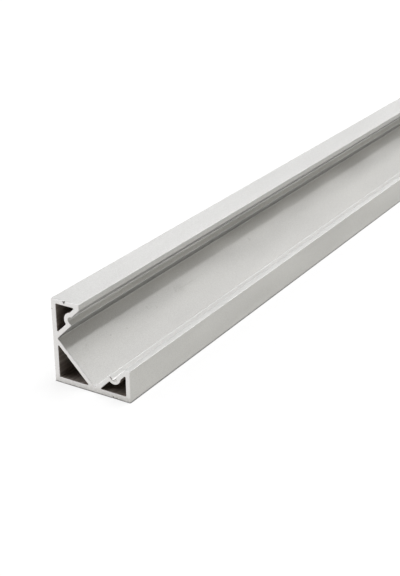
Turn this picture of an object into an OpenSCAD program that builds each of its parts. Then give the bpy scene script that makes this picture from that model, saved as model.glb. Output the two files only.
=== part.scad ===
// Corner channel for an LED strip: one bar of extruded aluminium.
// The section is a square with its inner corner cut away. A channel across the diagonal
// holds the strip on a flat bed at 45 degrees, and two lips hold a snap-in cover above it.
// The bar runs along Y and lies on one outer face, with its back on the other, at -X.

/* [Bar] */
// Length between the two sawn ends
length = 1000; // [250:50:3000]
// Width and height of the square that the section fills
side = 18; // [17:0.5:24]
// Wall along the two outer faces
outer_wall = 1.1; // [0.8:0.05:1.5]
// Wall across the end of each leg
end_wall = 0.95; // [0.7:0.05:1.4]
// Rounding along the outer edges of the square, as the die leaves it
edge_r = 0.2; // [0.1:0.05:0.3]

/* [Strip channel] */
// Width of the bed that the strip is stuck to
bed_w = 12; // [8:0.5:12.5]
// Depth of the bed below the seat of the cover
bed_depth = 5.1; // [3:0.1:6]
// Fillet where the bed meets the channel's sides
bed_fillet = 0.25; // [0.1:0.05:0.5]
// Wall behind the bed, the channel's sides, the grooves and the lips
inner_wall = 0.9; // [0.7:0.05:1.1]

/* [Cover grooves] */
// Clear width between the lips
cover_w = 14.3; // [13.6:0.1:15]
// Radius of the round groove behind each lip
groove_r = 0.65; // [0.5:0.05:0.8]
// Depth of each groove behind the face of its lip
groove_depth = 0.35; // [0.2:0.05:0.5]
// Height of the flat that trims the sharp nose of each lip
nose_h = 1.2; // [0.8:0.1:1.6]
// Rounding along the edges of the lips and the seats, which the die leaves sharper
lip_edge_r = 0.1; // [0.05:0.05:0.2]

/* [Chambers] */
// Rounding in the corners of the three chambers
chamber_r = 0.2; // [0.1:0.05:0.4]
// Blend from the round back of a groove to the straight back of its lip
blend_r = 0.8; // [0.3:0.1:1.2]

/* [Hidden] */
// Round stretches are drawn in steps of about 0.04 mm, or 5 degrees where that is longer
$fs = 0.04;
$fa = 5;

// Distances from the outer corner along the section's diagonal
bed_s = outer_wall * sqrt(2) + bed_w / 2;
seat_s = bed_s + bed_depth;
groove_s = seat_s + groove_r;
// Distance of each groove's centre from the diagonal
groove_n = cover_w / 2 + groove_depth - groove_r;
// Width of each leg's end, where its lip and its nose flat meet
leg_w = side - nose_h - cover_w / sqrt(2);
// Anything this long along the diagonal runs out of the section
beyond = 2 * side;

// A space centred on the diagonal, w wide, open outwards from s
module slot(s, w)
    translate([s, -w / 2]) square([beyond, w]);

// Space for the strip, down to the bed
module strip_space()
    slot(bed_s, bed_w);

// Space for the cover: the seat runs out into a round groove behind each lip
module cover_space() {
    slot(seat_s, 2 * groove_n);
    slot(groove_s, cover_w);
    for (n = [-groove_n, groove_n])
        translate([groove_s, n]) circle(r = groove_r);
}

// The square, open between the legs and along the channel
module outline()
    difference() {
        square(side);
        translate([leg_w, leg_w]) square(side);
        rotate(45) {
            strip_space();
            cover_space();
        }
    }

// The three chambers: what the walls leave of the square
module chambers()
    difference() {
        translate([outer_wall, outer_wall]) square(side - outer_wall - end_wall);
        rotate(45) {
            offset(delta = inner_wall) strip_space();
            offset(r = -blend_r) offset(r = inner_wall + blend_r) cover_space();
        }
    }

// Rounds the outward corners of a flat shape
module rounded(r)
    offset(r = r) offset(delta = -r) children();

// Rounds its inward corners
module filleted(r)
    offset(r = -r) offset(delta = r) children();

module section()
    difference() {
        intersection() {
            rounded(edge_r) square(side);
            rounded(lip_edge_r) filleted(bed_fillet) outline();
        }
        rounded(chamber_r) chambers();
    }

module corner_channel()
    color([0.83, 0.83, 0.82])
    translate([-side / 2, 0, 0])
    rotate([90, 0, 0])
    linear_extrude(length, center = true)
    section();

corner_channel();
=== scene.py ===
import math

import bmesh
import bpy
import numpy as np
from mathutils import Matrix, Vector, noise
from mathutils.geometry import delaunay_2d_cdt


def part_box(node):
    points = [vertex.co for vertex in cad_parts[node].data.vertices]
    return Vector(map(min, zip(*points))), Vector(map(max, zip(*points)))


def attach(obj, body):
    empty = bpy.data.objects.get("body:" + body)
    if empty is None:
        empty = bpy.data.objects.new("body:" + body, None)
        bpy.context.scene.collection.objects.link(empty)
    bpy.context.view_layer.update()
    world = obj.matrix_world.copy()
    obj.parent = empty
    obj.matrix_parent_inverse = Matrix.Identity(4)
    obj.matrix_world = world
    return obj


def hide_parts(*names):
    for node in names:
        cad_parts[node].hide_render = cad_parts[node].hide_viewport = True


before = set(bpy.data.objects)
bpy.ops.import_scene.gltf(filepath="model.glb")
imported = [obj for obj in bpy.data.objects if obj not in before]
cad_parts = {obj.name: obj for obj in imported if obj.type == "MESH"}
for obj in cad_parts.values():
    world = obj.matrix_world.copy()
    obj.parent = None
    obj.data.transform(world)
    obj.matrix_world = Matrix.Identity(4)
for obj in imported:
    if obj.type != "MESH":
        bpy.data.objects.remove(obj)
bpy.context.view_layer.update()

# The bar
# One length of corner channel, pushed through a die in a single piece of aluminium, anodised and
# then sawn to length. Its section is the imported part's own. What the saw and the handling did is
# made here: broken edges, a burr at the bottom and one in a groove, nicks, and scuffs on the bed.

MM = 0.001
# Largest gap between points round the section, across a sawn face, and round its nicks
OUTLINE_GAP = 0.1 * MM
FACE_GAP = 0.25 * MM
NICK_GAP = 0.07 * MM
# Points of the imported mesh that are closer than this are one, and so are points of a sawn face
# that are closer than this in millimetres
WELD = 0.001 * MM
SAME_POINT = 1e-6
# A direction counts as along an axis where at least this share of it is
SQUARE_ON = 0.9
# Distances from each end to the rings of points along the bar, past the broken edge
RINGS = [0.5 * MM, 1.5 * MM, 6 * MM, 30 * MM, 120 * MM, 300 * MM]
# Size of the teeth that the saw tore in the burr
TOOTH = 0.45 * MM
# Width of the broken edge round a sawn face, how much it varies and over what length, and the
# steps in its rounding
EDGE_BREAK = 0.05 * MM
EDGE_VARIES = 0.4
EDGE_WAVE = 3 * TOOTH
EDGE_STEPS = 3
# Width of the burr along the bottom edge, where the saw came out, what share of it the torn teeth
# fill on average, and how much that varies
BURR = 0.12 * MM
TEETH = 0.5
TEETH_VARY = 0.6
# Height of the strip of painted shade along the bottom of each sawn face, over the burr, which stands
# in for the shadowed floor that the face reflects: how dark it is at its left and right ends, at how
# many times that height it has faded out, and how much it varies
BOTTOM_SHADE_HEIGHT = 1.1 * MM
BOTTOM_SHADE = (0.16, 0.31)
BOTTOM_SHADE_FADES = 1.5
BOTTOM_SHADE_VARIES = 0.5
# Middle of the lower cover groove in the section, in millimetres, where the blade left a finer
# burr: its reach, how far it goes to the upper right, its share of BURR, and how dark the painted
# shade along it is
GROOVE = (14.25, 4.57)
GROOVE_REACH = 0.85 * MM
GROOVE_TOP = 0.3 * MM
GROOVE_BURR = 0.6
GROOVE_SHADE = 0.65
# The channel: distance of its bed from the outer corner, its width, and its sides' height
BED_FROM_CORNER = 7.556 * MM
BED_WIDTH = 12 * MM
SIDE_HEIGHT = 5.1 * MM
# Points no further than this inside and outside the face of a side count as on it
SIDE_INSIDE = 0.05 * MM
SIDE_OUTSIDE = 0.02 * MM
# Nicks in the near end: x and z of both ends of the stroke from the bottom left corner, its
# width and its depth, in millimetres
NICKS = [
    (2.98, 17.95, 3.2, 17.55, 0.24, 0.3),
    (3.42, 18.0, 3.2, 17.55, 0.24, 0.3),
    (13.95, 0.0, 13.95, 0.2, 0.4, 0.25),
    (14.75, 0.0, 14.8, 0.12, 0.35, 0.25),
    (0.05, 15.8, 0.25, 15.8, 0.2, 0.06),
    (3.0, 6.5, 3.15, 6.35, 0.25, 0.1),
    (6.1, 5.27, 6.5, 4.8, 0.14, 0.05),
    (6.6, 4.7, 7.0, 4.2, 0.12, 0.04),
]
# Within how many half widths of a nick the points stand closer, how ragged its rim is, the size
# of the grit that tore it, and how quickly it turns dull inside the rim
NICK_AROUND = 2
NICK_RAGGED = 0.25
NICK_GRIT = 0.2 * MM
NICK_DULL = 2
# Where each end's noise is taken from, so that the two ends differ, and what stretches it to
# about -1 to 1
NEAR_SEED = 3.7
FAR_SEED = 8.2
NOISE_STRETCH = 1.5
# Faces that meet at a sharper angle than this keep a crisp edge between them
CRISP = math.radians(35)

low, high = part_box("corner_channel")


def sawn_outlines(mesh):
    """The closed outlines of the near sawn face, as (x, z) points with the metal on their left."""
    shape = bmesh.new()
    shape.from_mesh(mesh)
    bmesh.ops.remove_doubles(shape, verts=shape.verts, dist=WELD)
    ahead = {}
    for face in shape.faces:
        if face.normal.y > -SQUARE_ON:
            continue
        for side in face.loops:
            if any(abs(beside.normal.y) < SQUARE_ON for beside in side.edge.link_faces):
                ahead[side.vert] = side.link_loop_next.vert
    outlines = []
    while ahead:
        vert = next(iter(ahead))
        points = []
        while vert in ahead:
            points.append((vert.co.x, vert.co.z))
            vert = ahead.pop(vert)
        outlines.append(np.array(points))
    shape.free()
    return outlines


def closely_spaced(outline, gap):
    """The same outline with points added along its straight runs, no more than gap apart."""
    points = []
    for start, end in zip(outline, np.roll(outline, -1, axis=0)):
        steps = math.ceil(np.linalg.norm(end - start) / gap)
        points += [start + (end - start) * step / steps for step in range(steps)]
    return np.array(points)


def enclosed(outline):
    """Its area, positive round the metal and negative round a chamber."""
    x, z = outline.T
    return np.sum(x * np.roll(z, -1) - np.roll(x, -1) * z) / 2


def out_of_metal(outline):
    """At each point, the direction out of the metal."""
    along = np.roll(outline, -1, axis=0) - np.roll(outline, 1, axis=0)
    across = np.stack([along[:, 1], -along[:, 0]], 1)
    return across / np.linalg.norm(across, axis=1, keepdims=True)


def in_metal(points, outlines):
    """Which points lie in the metal: those with an odd number of outlines to one side."""
    crossings = np.zeros(len(points), int)
    for outline in outlines:
        for (x1, z1), (x2, z2) in zip(outline, np.roll(outline, -1, axis=0)):
            level = np.flatnonzero((points[:, 1] < z1) != (points[:, 1] < z2))
            meets = x1 + (points[level, 1] - z1) * (x2 - x1) / (z2 - z1)
            crossings[level[meets > points[level, 0]]] += 1
    return crossings % 2 == 1


def rough(points, size, seed):
    """Noise from about -1 to 1 at each (x, z) point, with lumps of that size."""
    drawn = [noise.noise(Vector((x / size, seed, z / size))) for x, z in points]
    return np.array(drawn) * NOISE_STRETCH


def across_nick(points, nick):
    """Distance of each point from a nick's stroke, as a share of half its width."""
    x1, z1, x2, z2, width, depth = nick
    start = np.array([low.x + x1 * MM, low.z + z1 * MM])
    run = np.array([x2 - x1, z2 - z1]) * MM
    share = np.clip((points - start) @ run / (run @ run), 0, 1)
    return np.linalg.norm(points - start - share[:, None] * run, axis=1) / (width / 2 * MM)


def square_grid(gap):
    """Points that far apart over the whole square that the section fills."""
    across = np.arange(low.x, high.x, gap)
    up = np.arange(low.z, high.z, gap)
    return np.stack(np.meshgrid(across, up), -1).reshape(-1, 2)


# The rim is the section's outlines in one list of points, the outer outline first and then the
# chambers', and runs holds where each begins and ends in it
outlines = sawn_outlines(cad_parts["corner_channel"].data)
outlines = [closely_spaced(outline, OUTLINE_GAP) for outline in outlines]
outlines.sort(key=enclosed, reverse=True)
rim = np.concatenate(outlines)
facing = np.concatenate([out_of_metal(outline) for outline in outlines])
starts = np.cumsum([0] + [len(outline) for outline in outlines])
runs = list(zip(starts, starts[1:]))
count = len(rim)
on_outside = np.arange(count) < starts[1]

# How much painted shade each point takes, which darkens the channel's sides towards the bed: how far
# down a side it lies, 1 at the bed, and 0 at the top of a side and everywhere else
above_bed = (rim[:, 0] - low.x + rim[:, 1] - low.z) / math.sqrt(2) - BED_FROM_CORNER
off_middle = np.abs(rim[:, 1] - low.z - rim[:, 0] + low.x) / math.sqrt(2)
on_side = (off_middle > BED_WIDTH / 2 - SIDE_INSIDE) & (off_middle < BED_WIDTH / 2 + SIDE_OUTSIDE)
on_side = on_side & (above_bed > -SIDE_OUTSIDE) & on_outside
rim_painted_side_shade = np.where(on_side, np.clip(1 - above_bed / SIDE_HEIGHT, 0, 1), 0)


def points_across(edge, edge_outlines, nicks):
    """Points spread over a sawn face inside its edge, closer together round the nicks."""
    points = square_grid(FACE_GAP)
    if nicks:
        closer = square_grid(NICK_GAP)
        away = np.min([across_nick(points, nick) for nick in nicks], axis=0)
        closer_away = np.min([across_nick(closer, nick) for nick in nicks], axis=0)
        points = np.concatenate([points[away > NICK_AROUND], closer[closer_away <= NICK_AROUND]])
    points = points[in_metal(points, edge_outlines)]
    clear = np.array([np.linalg.norm(edge - point, axis=1).min() for point in points])
    return points[clear > NICK_GAP / 2]


def triangles_across(points, edge_outlines):
    """Triangles of a sawn face between its points, of which the edge's come first. They are
    made over the openings too, and only those in the metal are kept."""
    edges = [(a + i, a + (i + 1) % (b - a)) for a, b in runs for i in range(b - a)]
    made = delaunay_2d_cdt([Vector(point) for point in points / MM], edges, [], 0, SAME_POINT)
    source = [ids[0] for ids in made[3]]
    triangles = np.array([[source[i] for i in triangle] for triangle in made[2]])
    return triangles[in_metal(points[triangles].mean(axis=1), edge_outlines)]


def sawn_end(y, inwards, seed, nicks):
    """Rings of points from the sawn face at y, how torn each is and how much painted shade it
    takes, and then the face's inner points, how torn and painted in shade they are, and its triangles."""
    at_bottom = (rim[:, 1] < low.z + EDGE_BREAK) & (facing[:, 1] < -SQUARE_ON)
    teeth = np.clip(TEETH + TEETH_VARY * rough(rim, TOOTH, seed), 0, 1)
    teeth = np.where(at_bottom, teeth, 0)
    groove = np.array([low.x + GROOVE[0] * MM, low.z + GROOVE[1] * MM])
    in_groove = (np.linalg.norm(rim - groove, axis=1) < GROOVE_REACH) & on_outside
    in_groove = in_groove & ((rim - groove).sum(axis=1) < GROOVE_TOP)
    teeth = np.where(in_groove, GROOVE_BURR, teeth)
    width = EDGE_BREAK * (1 + EDGE_VARIES * rough(rim, EDGE_WAVE, seed)) + BURR * teeth

    edge = rim - facing * width[:, None]
    edge_outlines = [edge[a:b] for a, b in runs]
    inner = points_across(edge, edge_outlines, nicks)
    flat = np.concatenate([edge, inner])
    triangles = triangles_across(flat, edge_outlines)

    dip = np.zeros(len(flat))
    # Painted shade: the sawn face darkens towards its bottom, standing in for the shadowed floor that it
    # reflects
    height = (flat[:, 1] - low.z) / BOTTOM_SHADE_HEIGHT
    bottom_shade_level = np.interp(flat[:, 0], [low.x, high.x], BOTTOM_SHADE)
    tears_and_shade = bottom_shade_level * np.clip(BOTTOM_SHADE_FADES - height, 0, 1) * (1 + BOTTOM_SHADE_VARIES * rough(flat, TOOTH, seed))
    # Painted shade along the burr round the lower groove's rim
    tears_and_shade[:count] = np.maximum(tears_and_shade[:count], np.where(in_groove, GROOVE_SHADE, 0))
    for nick in nicks:
        ragged = NICK_RAGGED * rough(flat, NICK_GRIT, seed)
        inside = np.clip(1 - across_nick(flat, nick) + ragged, 0, 1)
        dip = np.maximum(dip, nick[5] * MM * inside)
        tears_and_shade = np.maximum(tears_and_shade, np.clip(NICK_DULL * inside, 0, 1))

    rings = []
    ring_tears_and_shade = []
    for turn in np.linspace(0, math.pi / 2, EDGE_STEPS + 1):
        inset = rim - facing * (width * (1 - math.sin(turn)))[:, None]
        depth = np.maximum(width * (1 - math.cos(turn)), dip[:count])
        rings.append(np.stack([inset[:, 0], y + inwards * depth, inset[:, 1]], 1))
        ring_tears_and_shade.append(np.maximum(tears_and_shade[:count], teeth * math.sin(turn)))
    for distance in RINGS:
        rings.append(np.stack([rim[:, 0], np.full(count, y + inwards * distance), rim[:, 1]], 1))
        ring_tears_and_shade.append(np.zeros(count))
    inner = np.stack([inner[:, 0], y + inwards * dip[count:], inner[:, 1]], 1)
    return rings, ring_tears_and_shade, inner, tears_and_shade[count:], triangles


near_rings, near_tears_and_shade, near_inner, near_inner_tears_and_shade, near_face = sawn_end(low.y, 1, NEAR_SEED, NICKS)
far_rings, far_tears_and_shade, far_inner, far_inner_tears_and_shade, far_face = sawn_end(high.y, -1, FAR_SEED, [])
rings = near_rings + far_rings[::-1]

# The bar's four-sided faces join each ring to the next, from the near end to the far one. The
# sawn faces' triangles count their edge's points first, which are the first and the last ring
along = np.concatenate([np.roll(np.arange(a, b), -1) for a, b in runs])
first = np.arange(len(rings) - 1)[:, None] * count + np.arange(count)
second = np.arange(len(rings) - 1)[:, None] * count + along
quads = np.stack([first, first + count, second + count, second], -1).reshape(-1, 4)
past_near = len(rings) * count - count
past_far = past_near + len(near_inner)
near_face = np.where(near_face < count, near_face, near_face + past_near)
far_face = np.where(far_face < count, far_face + past_near, far_face + past_far)[:, ::-1]

mesh = bpy.data.meshes.new("bar")
mesh.from_pydata(np.concatenate(rings + [near_inner, far_inner]).tolist(), [],
                 quads.tolist() + near_face.tolist() + far_face.tolist())
# Tears, and painted shade on the sawn faces, for each point
tears_and_shade = np.concatenate(near_tears_and_shade + far_tears_and_shade[::-1] + [near_inner_tears_and_shade, far_inner_tears_and_shade])
# Painted shade down the channel's sides, on every ring
painted_side_shade = np.concatenate([np.tile(rim_painted_side_shade, len(rings)), np.zeros(len(near_inner) + len(far_inner))])
for name, values in (("tears_and_shade", tears_and_shade), ("painted_side_shade", painted_side_shade)):
    mesh.attributes.new(name, "FLOAT", "POINT").data.foreach_set("value", values.astype(np.float32))
mesh.shade_smooth()
mesh.set_sharp_from_angle(angle=CRISP)
bar = bpy.data.objects.new("bar", mesh)
bpy.context.scene.collection.objects.link(bar)


def linear(code):
    """An sRGB hex colour as linear red, green, blue and alpha."""
    channels = [int(code[i : i + 2], 16) / 255 for i in (1, 3, 5)]
    return [c / 12.92 if c <= 0.04045 else ((c + 0.055) / 1.055) ** 2.4 for c in channels] + [1.0]


def add(tree, kind, inputs=None, **settings):
    """Adds a node with its settings and inputs, each a value or another node's socket, and
    returns its first output that is in use. Sockets go by their identifiers."""
    node = tree.nodes.new("ShaderNode" + kind)
    for name, value in settings.items():
        setattr(node, name, value)
    sockets = {socket.identifier: socket for socket in node.inputs}
    for name, value in (inputs or {}).items():
        if isinstance(value, bpy.types.NodeSocket):
            tree.links.new(value, sockets[name])
        else:
            sockets[name].default_value = value
    return next((socket for socket in node.outputs if socket.enabled), None)


def new_material(name):
    """A new material without nodes, and the tree that they go into."""
    material = bpy.data.materials.new(name)
    material.use_nodes = True
    material.node_tree.nodes.clear()
    return material, material.node_tree


def pattern(tree, x, y, z, detail=2.0):
    """Noise with marks of about x, y and z millimetres along the three axes. It lies mostly
    between 0.3 and 0.7."""
    place = add(tree, "TexCoord").node.outputs["Object"]
    scale = [1 / (size * MM) for size in (x, y, z)]
    scaled = add(tree, "VectorMath", {"Vector": place, "Vector_001": scale}, operation="MULTIPLY")
    return add(tree, "TexNoise", {"Vector": scaled, "Scale": 1.0, "Detail": detail})


# Anodised aluminium, etched satin before the bath: an even silver grey with a broad soft
# gloss, a fine grain and faint lines from the die along the length
anodised, tree = new_material("satin_anodised_aluminium")
# The die's lines are a few hundredths of a millimetre wide, and are drawn wider to show
DIE_LINE = 0.3
DIE_LINE_LENGTH = 80
DIE_LINE_DEPTH = 0.003 * MM
# The etch's grain is about 0.05 mm, and is drawn larger to show
GRAIN = 0.16
GRAIN_DEPTH = 0.008 * MM
# Patches of slightly different gloss, six times as long along the bar as across it
CLOUD = 5
SMOOTHEST = 0.48
ROUGHEST = 0.58
# Painted shade: the channel's sides are painted darker towards the bed, in the corner's shade
SIDE_SHADE_STRENGTH = 0.5
grain = pattern(tree, GRAIN, GRAIN, GRAIN, 3.0)
lines = pattern(tree, DIE_LINE, DIE_LINE_LENGTH, DIE_LINE)
cloud = pattern(tree, CLOUD, 6 * CLOUD, CLOUD)
fine = add(tree, "MapRange", {"Value": grain, "From Min": 0.3, "From Max": 0.7})
tone = add(tree, "Mix", {"Factor_Float": fine, "A_Color": linear("#BEBDBC"), "B_Color": linear("#CECECD")},
           data_type="RGBA")
# Painted shade on the channel's sides, darker towards the bed
side_shade_amount = add(tree, "Attribute", attribute_name="painted_side_shade").node.outputs["Fac"]
side_shade_amount = add(tree, "Math", {"Value": side_shade_amount, "Value_001": SIDE_SHADE_STRENGTH}, operation="MULTIPLY")
tone = add(tree, "Mix", {"Factor_Float": side_shade_amount, "A_Color": tone, "B_Color": linear("#94928E")},
           data_type="RGBA")

# Faint scuffs on the bed, grey and speckled: place along the bar from the near end, place across
# the bed from its middle, half their length and width, all in millimetres, and how dark they are
SCUFFS = [
    (5.2, 1.8, 0.3, 0.25, 0.22),
    (12.4, 0.8, 0.35, 0.3, 0.22),
    (17.5, 0.15, 0.35, 0.3, 0.25),
    (18.0, 3.0, 8.0, 0.9, 0.08),
    (26.3, 1.6, 0.4, 0.5, 0.22),
    (29.0, 0.4, 0.4, 0.45, 0.2),
    (37.2, 1.1, 0.5, 0.5, 0.25),
    (37.4, 1.7, 0.5, 0.9, 0.14),
    (38.8, 1.1, 2.2, 1.5, 0.12),
    (39.2, 0.4, 0.8, 0.5, 0.1),
    (41.5, 1.05, 5.0, 0.18, 0.16),
    (71.0, 1.9, 0.6, 0.8, 0.2),
]
# How strong a scuff is in the hollows of the grain and on its tops
SPECKLE_HOLLOW = 1.4
SPECKLE_TOP = 0.6
place = add(tree, "TexCoord").node.outputs["Object"]
scuffed = 0.0
for y, across, half_length, half_width, dark in SCUFFS:
    x = (BED_FROM_CORNER - across * MM) / math.sqrt(2)
    z = (BED_FROM_CORNER + across * MM) / math.sqrt(2)
    middle = (low.x + x, low.y + y * MM, low.z + z)
    away = add(tree, "VectorMath", {"Vector": place, "Vector_001": middle}, operation="SUBTRACT")
    scale = [1 / (size * MM) for size in (half_width, half_length, half_width)]
    away = add(tree, "VectorMath", {"Vector": away, "Vector_001": scale}, operation="MULTIPLY")
    away = add(tree, "VectorMath", {"Vector": away}, operation="LENGTH").node.outputs["Value"]
    mark = add(tree, "MapRange", {"Value": away, "To Min": dark, "To Max": 0.0})
    scuffed = add(tree, "Math", {"Value": scuffed, "Value_001": mark}, operation="MAXIMUM")
speckled = add(tree, "MapRange", {"Value": grain, "From Min": 0.35, "From Max": 0.65,
                                  "To Min": SPECKLE_HOLLOW, "To Max": SPECKLE_TOP})
scuffed = add(tree, "Math", {"Value": scuffed, "Value_001": speckled}, operation="MULTIPLY")
tone = add(tree, "Mix", {"Factor_Float": scuffed, "A_Color": tone, "B_Color": linear("#73716C")},
           data_type="RGBA")
gloss = add(tree, "MapRange", {"Value": cloud, "From Min": 0.3, "From Max": 0.7,
                               "To Min": SMOOTHEST, "To Max": ROUGHEST})
lined = add(tree, "Bump", {"Height": lines, "Distance": DIE_LINE_DEPTH})
grained = add(tree, "Bump", {"Height": grain, "Distance": GRAIN_DEPTH, "Normal": lined})
skin = add(tree, "BsdfPrincipled", {"Base Color": tone, "Metallic": 1.0, "Roughness": gloss,
                                    "Normal": grained})
add(tree, "OutputMaterial", {"Surface": skin})
mesh.materials.append(anodised)

# Bare aluminium, sawn after the anodising: brighter than the skin, with the blade's marks across
# it, and dull grey where the teeth tore the metal. Painted shade darkens it along its bottom and
# round the lower groove's rim
sawn, tree = new_material("sawn_aluminium")
SAW_MARK = 0.18
SAW_MARK_LENGTH = 3
SAW_MARK_DEPTH = 0.01 * MM
# The torn specks between the marks are a few hundredths of a millimetre, and are drawn larger
SPECK = 0.2
marks = pattern(tree, SAW_MARK_LENGTH, SAW_MARK_LENGTH, SAW_MARK, 3.0)
specks = pattern(tree, SPECK, SPECK, SPECK, 3.0)
fine = add(tree, "MapRange", {"Value": specks, "From Min": 0.3, "From Max": 0.7})
bright = add(tree, "Mix", {"Factor_Float": fine, "A_Color": linear("#D5D4D5"),
                           "B_Color": linear("#E3E2E3")}, data_type="RGBA")
# Tears, and painted shade along the bottom and round the lower groove's rim, darken the metal
tears_and_shade_fac = add(tree, "Attribute", attribute_name="tears_and_shade").node.outputs["Fac"]
tone = add(tree, "Mix", {"Factor_Float": tears_and_shade_fac, "A_Color": bright, "B_Color": linear("#8E8B85")},
           data_type="RGBA")
marked = add(tree, "Bump", {"Height": marks, "Distance": SAW_MARK_DEPTH})
face = add(tree, "BsdfPrincipled", {"Base Color": tone, "Metallic": 1.0, "Roughness": 0.55,
                                    "Normal": marked})
add(tree, "OutputMaterial", {"Surface": face})
mesh.materials.append(sawn)

# The same skin inside the closed chambers, where the bath ran dry and left it dull: brownish
# grey, streaked along the length, and rough enough to show no reflection
stained, tree = new_material("stained_chamber_skin")
STREAK = 0.5
STREAK_LENGTH = 15
streaks = pattern(tree, STREAK, STREAK_LENGTH, STREAK, 3.0)
fine = add(tree, "MapRange", {"Value": streaks, "From Min": 0.35, "From Max": 0.65})
tone = add(tree, "Mix", {"Factor_Float": fine, "A_Color": linear("#9A918B"), "B_Color": linear("#B8B0AA")},
           data_type="RGBA")
inside = add(tree, "BsdfPrincipled", {"Base Color": tone, "Metallic": 1.0, "Roughness": 0.7})
add(tree, "OutputMaterial", {"Surface": inside})
mesh.materials.append(stained)

# The skin covers the outside, its stained kind the chambers, and the sawn metal the two end
# faces with the broken edges round them. The slots are in the order of appending
SKIN_SLOT = 0
SAWN_SLOT = 1
CHAMBER_SLOT = 2
sides = np.tile(np.where(on_outside, SKIN_SLOT, CHAMBER_SLOT), len(rings) - 1)
sides[: EDGE_STEPS * count] = SAWN_SLOT
sides[-EDGE_STEPS * count :] = SAWN_SLOT
ends = np.full(len(near_face) + len(far_face), SAWN_SLOT)
mesh.polygons.foreach_set("material_index", np.concatenate([sides, ends]).astype(np.int32))

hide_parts("corner_channel")
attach(bar, "root")

# The floor
# A wide sheet of white studio paper under the bar. It takes the bar's shadow, and the camera
# and the metal's gloss see it brighter than its lit colour, so that it is white.

# The sheet's edge, and a square of its own under the bar, from the middle in metres
FLOOR_EDGE = 200
FLOOR_MIDDLE = 2
# Gap between the bar and the paper, so that their faces don't coincide
FLOOR_GAP = 0.02 * MM
# Brightness that the camera and the gloss see on top of the paper's lit colour, where 1 is white
FLOOR_WHITE = 0.76
# Reach of the painted contact shadow, a dark line where the paper's glow fades beside the bar,
# and how steeply it darkens
CONTACT = 0.24 * MM
CONTACT_POWER = 3.0
places = [-FLOOR_EDGE, -FLOOR_MIDDLE, FLOOR_MIDDLE, FLOOR_EDGE]
# The corners stand four to a row, and a square takes two of one row and two of the next
corners = [(x, y, 0) for y in places for x in places]
squares = [(i, i + 1, i + 5, i + 4) for i in (0, 1, 2, 4, 5, 6, 8, 9, 10)]
floor_mesh = bpy.data.meshes.new("floor")
floor_mesh.from_pydata(corners, [], squares)
floor = bpy.data.objects.new("floor", floor_mesh)
floor.location.z = low.z - FLOOR_GAP
bpy.context.scene.collection.objects.link(floor)

# Smooth uncoated paper: matt and even, with a gloss too weak to show. The camera sees it neutral
# white, and the metal's gloss sees its faint warmth
paper, tree = new_material("white_paper")
path = add(tree, "LightPath").node.outputs
seen = add(tree, "Math", {"Value": path["Is Camera Ray"], "Value_001": path["Is Glossy Ray"]},
           operation="MAXIMUM")
seen = add(tree, "Math", {"Value": seen, "Value_001": path["Is Transmission Ray"]}, operation="MAXIMUM")
# Painted contact shadow: the glow fades where the paper lies shut in beside the bar
open_paper = add(tree, "AmbientOcclusion", {"Distance": CONTACT}).node.outputs["AO"]
open_paper = add(tree, "Math", {"Value": open_paper, "Value_001": CONTACT_POWER}, operation="POWER")
seen = add(tree, "Math", {"Value": seen, "Value_001": open_paper}, operation="MULTIPLY")
glow = add(tree, "Math", {"Value": seen, "Value_001": FLOOR_WHITE}, operation="MULTIPLY")
tint = add(tree, "Mix", {"Factor_Float": path["Is Camera Ray"], "A_Color": linear("#FFFEF8"),
                         "B_Color": linear("#FFFFFF")}, data_type="RGBA")
matt = add(tree, "BsdfDiffuse", {"Color": linear("#838383")})
white = add(tree, "Emission", {"Color": tint, "Strength": glow})
both = add(tree, "AddShader", {"Shader": matt, "Shader_001": white})
add(tree, "OutputMaterial", {"Surface": both})
floor_mesh.materials.append(paper)

# The light
# A narrow strip softbox runs overhead along the bar, a little to its right, and casts the upper
# lip's shadow on the bed. Wide softboxes round it and a dim world fill in the rest.

SOFTBOX_AWAY = 2.5
WORLD_LEVEL = 0.04
bar_middle = (low + high) / 2


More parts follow.
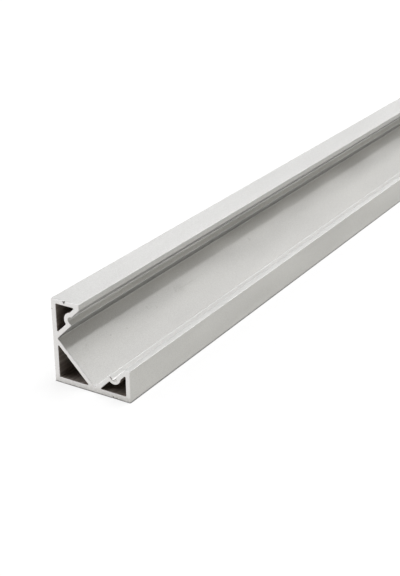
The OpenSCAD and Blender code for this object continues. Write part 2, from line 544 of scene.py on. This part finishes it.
def softbox(name, tilt, spread, back, front, brightness, colour="#FFFFFF"):
    """A softbox along the bar, turned to it: tilt is its angle from straight overhead, towards
    the bar's right, spread its width as an angle, back and front its two ends along Y, and a
    brightness of 1 is that of white paper in full light."""
    lamp = bpy.data.lights.new(name, "AREA")
    lamp.shape = "RECTANGLE"
    lamp.size = 2 * SOFTBOX_AWAY * math.tan(math.radians(spread / 2))
    lamp.size_y = back - front
    lamp.energy = brightness * math.pi * lamp.size * lamp.size_y
    lamp.color = linear(colour)[:3]
    lit = bpy.data.objects.new(name, lamp)
    turn = Matrix.Rotation(math.radians(tilt), 4, "Y")
    away = Matrix.Translation((0, (front + back) / 2, SOFTBOX_AWAY))
    lit.matrix_world = Matrix.Translation(bar_middle) @ turn @ away
    bpy.context.scene.collection.objects.link(lit)


softbox("key_strip", 21.2, 2.5, 1, -1, 28.5)
softbox("overhead_softbox", 4.5, 16, 1, -1, 7.9)
softbox("back_overhead_softbox", 5, 40, 5, 2.6, 6.0)
softbox("back_right_softbox", 25, 20, 5, 2.6, 2.9)
softbox("right_strip", 45, 20, 5, 1, 0.72, "#FEFCF3")
softbox("right_low_softbox", 60, 30, 5, 1, 0.75, "#FEFCF3")
softbox("back_right_low_softbox", 75, 20, 5, 2.6, 0.8, "#FEFCF3")
softbox("back_left_softbox", -35, 40, 2.6, 1, 2.75)
softbox("left_strip", -25, 15, 5, 1, 1.45)
softbox("front_left_softbox", -68, 30, -1, -3.5, 7.5)

world = bpy.data.worlds.new("studio")
bpy.context.scene.world = world
world.use_nodes = True
world.node_tree.nodes["Background"].inputs["Color"].default_value = linear("#FFFEF8")
world.node_tree.nodes["Background"].inputs["Strength"].default_value = WORLD_LEVEL

# The camera
# Low in front of the near end and to its right, at the photograph's angle, so that the bar
# runs away from it and out of the picture.

CAMERA_FROM_CORNER = Vector((132.19, -158.68, 110.63)) * MM
YAW = math.radians(31.782)
PITCH = math.radians(23.957)
ROLL = math.radians(0.556)
# Focal length in pixels, in a picture 576 pixels tall, on a sensor 36 mm tall
FOCAL_PIXELS = 1167
PICTURE_HEIGHT = 576
SENSOR = 36
# Nearest distance that the camera shows, in metres
NEAREST = 0.01

lens = bpy.data.cameras.new("camera")
lens.sensor_width = SENSOR
lens.lens = SENSOR * FOCAL_PIXELS / PICTURE_HEIGHT
lens.clip_start = NEAREST
camera = bpy.data.objects.new("camera", lens)
turned = Matrix.Rotation(YAW, 4, "Z") @ Matrix.Rotation(math.pi / 2 - PITCH, 4, "X")
turned = turned @ Matrix.Rotation(-ROLL, 4, "Z")
camera.matrix_world = Matrix.Translation(low + CAMERA_FROM_CORNER) @ turned
bpy.context.scene.collection.objects.link(camera)
bpy.context.scene.camera = camera
bpy.context.scene.view_settings.view_transform = "Standard"
